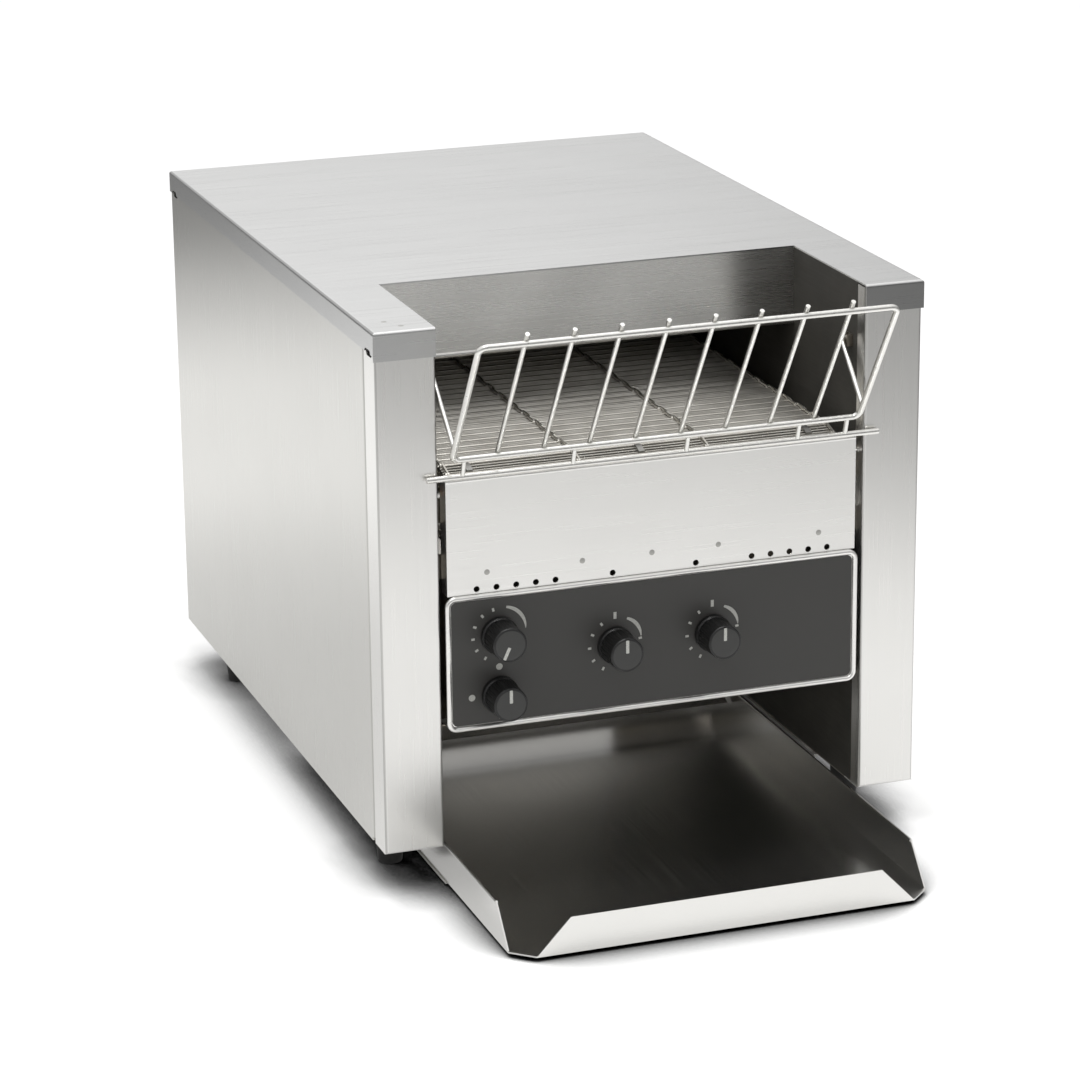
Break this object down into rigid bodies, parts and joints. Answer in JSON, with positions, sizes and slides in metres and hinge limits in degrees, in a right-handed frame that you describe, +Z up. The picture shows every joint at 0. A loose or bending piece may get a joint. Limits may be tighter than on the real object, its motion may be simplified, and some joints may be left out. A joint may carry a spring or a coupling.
{
  "type": "conveyor toaster",
  "caption": "Stainless countertop conveyor toaster with a loading notch and wire rack on top, a wire belt between heating tubes, a rotary-knob control strip and a pull-out discharge tray.",
  "frame": {"origin": "centre of the bounding box's bottom face, on the surface that the feet stand on", "axes": "+X to the right seen from the front, +Y from the loading side to the back, +Z up"},
  "size_m": [0.37, 0.644, 0.3828],
  "materials": {
    "stainless_cover": "brushed stainless sheet, fine grain",
    "stainless_inner": "mill-finish sheet, heat-dulled",
    "reflector": "bright reflector sheet, dulled by heat",
    "tray_steel": "brushed stainless sheet with a dark non-stick coat inside",
    "overlay": "dark grey printed overlay, satin",
    "knob_plastic": "black moulded plastic",
    "control_body": "moulded control can",
    "belt_wire": "stainless wire, browned by heat",
    "shaft_steel": "turned steel",
    "sprocket_steel": "machined steel",
    "bush_bronze": "sintered bronze",
    "motor_case": "grey painted die casting",
    "quartz": "milky quartz tube",
    "ceramic": "fired ceramic",
    "blanket": "pressed fibre blanket",
    "rack_wire": "bright plated wire",
    "screw_steel": "plated steel",
    "rubber": "black rubber",
    "gland_plastic": "black nylon",
    "fan_plastic": "black glass-filled plastic",
    "board": "green circuit board with its parts",
    "terminal": "white terminal block"
  },
  "bodies": {
    "cabinet": {"base_pan": "stainless_inner", "left_side_panel": "stainless_cover", "right_side_panel": "stainless_cover", "left_pillar": "stainless_cover", "right_pillar": "stainless_cover", "top_cover": "stainless_cover", "case_screws": "screw_steel", "hood_wall": "stainless_cover", "left_liner": "stainless_inner", "right_liner": "stainless_inner", "rear_panel": "stainless_cover", "rear_cowl": "stainless_cover", "cord_gland": "gland_plastic", "feet": "rubber", "foot_screws": "screw_steel", "front_panel": "stainless_cover", "panel_brackets": "stainless_inner", "control_fascia": "stainless_cover", "control_overlay": "overlay", "control_shield": "stainless_inner", "speed_control": "control_body", "mode_switch": "control_body", "top_heat_control": "control_body", "bottom_heat_control": "control_body", "belt_rods": "belt_wire", "belt_links": "belt_wire", "shaft_bushes": "bush_bronze", "drive_chain": "sprocket_steel", "gear_motor": "motor_case", "upper_tubes": "quartz", "lower_tubes": "quartz", "tube_caps": "ceramic", "upper_reflector": "reflector", "lower_reflector": "reflector", "upper_insulation": "blanket", "return_slide": "stainless_inner", "tray_guides": "stainless_inner", "rack_clips": "stainless_inner", "fan_frame": "fan_plastic", "fan_guard": "screw_steel", "speed_board": "board", "terminal_block": "terminal"},
    "idler": {"idler_shaft": "shaft_steel", "idler_sprockets": "sprocket_steel"},
    "drive": {"drive_shaft": "shaft_steel", "drive_sprockets": "sprocket_steel", "chain_wheel": "sprocket_steel"},
    "motor_output": {"motor_shaft": "shaft_steel", "motor_sprocket": "sprocket_steel"},
    "fan": {"fan_rotor": "fan_plastic"},
    "speed": {"speed_knob": "knob_plastic", "speed_spindle": "shaft_steel"},
    "mode": {"mode_knob": "knob_plastic", "mode_spindle": "shaft_steel"},
    "top_heat": {"top_heat_knob": "knob_plastic", "top_heat_spindle": "shaft_steel"},
    "bottom_heat": {"bottom_heat_knob": "knob_plastic", "bottom_heat_spindle": "shaft_steel"},
    "rack": {"wire_rack": "rack_wire"},
    "tray": {"discharge_tray": "tray_steel"}
  },
  "joints": [
    {"name": "drive_spin", "type": "hinge", "parent": "cabinet", "child": "drive", "pos_m": [0, 0.19918, 0.25082], "axis": [1, 0, 0], "continuous": true, "deforming": ["belt_rods", "belt_links", "drive_chain"]},
    {"name": "idler_spin", "type": "hinge", "parent": "cabinet", "child": "idler", "pos_m": [0, -0.16082, 0.25082], "axis": [1, 0, 0], "continuous": true},
    {"name": "motor_spin", "type": "hinge", "parent": "cabinet", "child": "motor_output", "pos_m": [0.1445, 0.19918, 0.07937], "axis": [1, 0, 0], "continuous": true},
    {"name": "fan_spin", "type": "hinge", "parent": "cabinet", "child": "fan", "pos_m": [-0.0865, 0.241, 0.041], "axis": [0, 0, 1], "continuous": true},
    {"name": "speed_turn", "type": "hinge", "parent": "cabinet", "child": "speed", "pos_m": [-0.106, -0.194, 0.1695], "axis": [0, 1, 0], "range_deg": [0, 300]},
    {"name": "mode_turn", "type": "hinge", "parent": "cabinet", "child": "mode", "pos_m": [-0.106, -0.194, 0.1295], "axis": [0, 1, 0], "range_deg": [-90, 0]},
    {"name": "top_heat_turn", "type": "hinge", "parent": "cabinet", "child": "top_heat", "pos_m": [-0.0275, -0.194, 0.153], "axis": [0, 1, 0], "range_deg": [0, 330]},
    {"name": "bottom_heat_turn", "type": "hinge", "parent": "cabinet", "child": "bottom_heat", "pos_m": [0.0395, -0.194, 0.153], "axis": [0, 1, 0], "range_deg": [0, 330]},
    {"name": "rack_lift", "type": "slide", "parent": "cabinet", "child": "rack", "axis": [0, 0, 1], "range_m": [0, 0.14]},
    {"name": "tray_slide", "type": "slide", "parent": "cabinet", "child": "tray", "axis": [0, -1, 0], "range_m": [0, 0.24]}
  ],
  "couplings": [
    {"joint": "idler_spin", "follows": "drive_spin", "ratio": 1},
    {"joint": "motor_spin", "follows": "drive_spin", "ratio": 1}
  ]
}
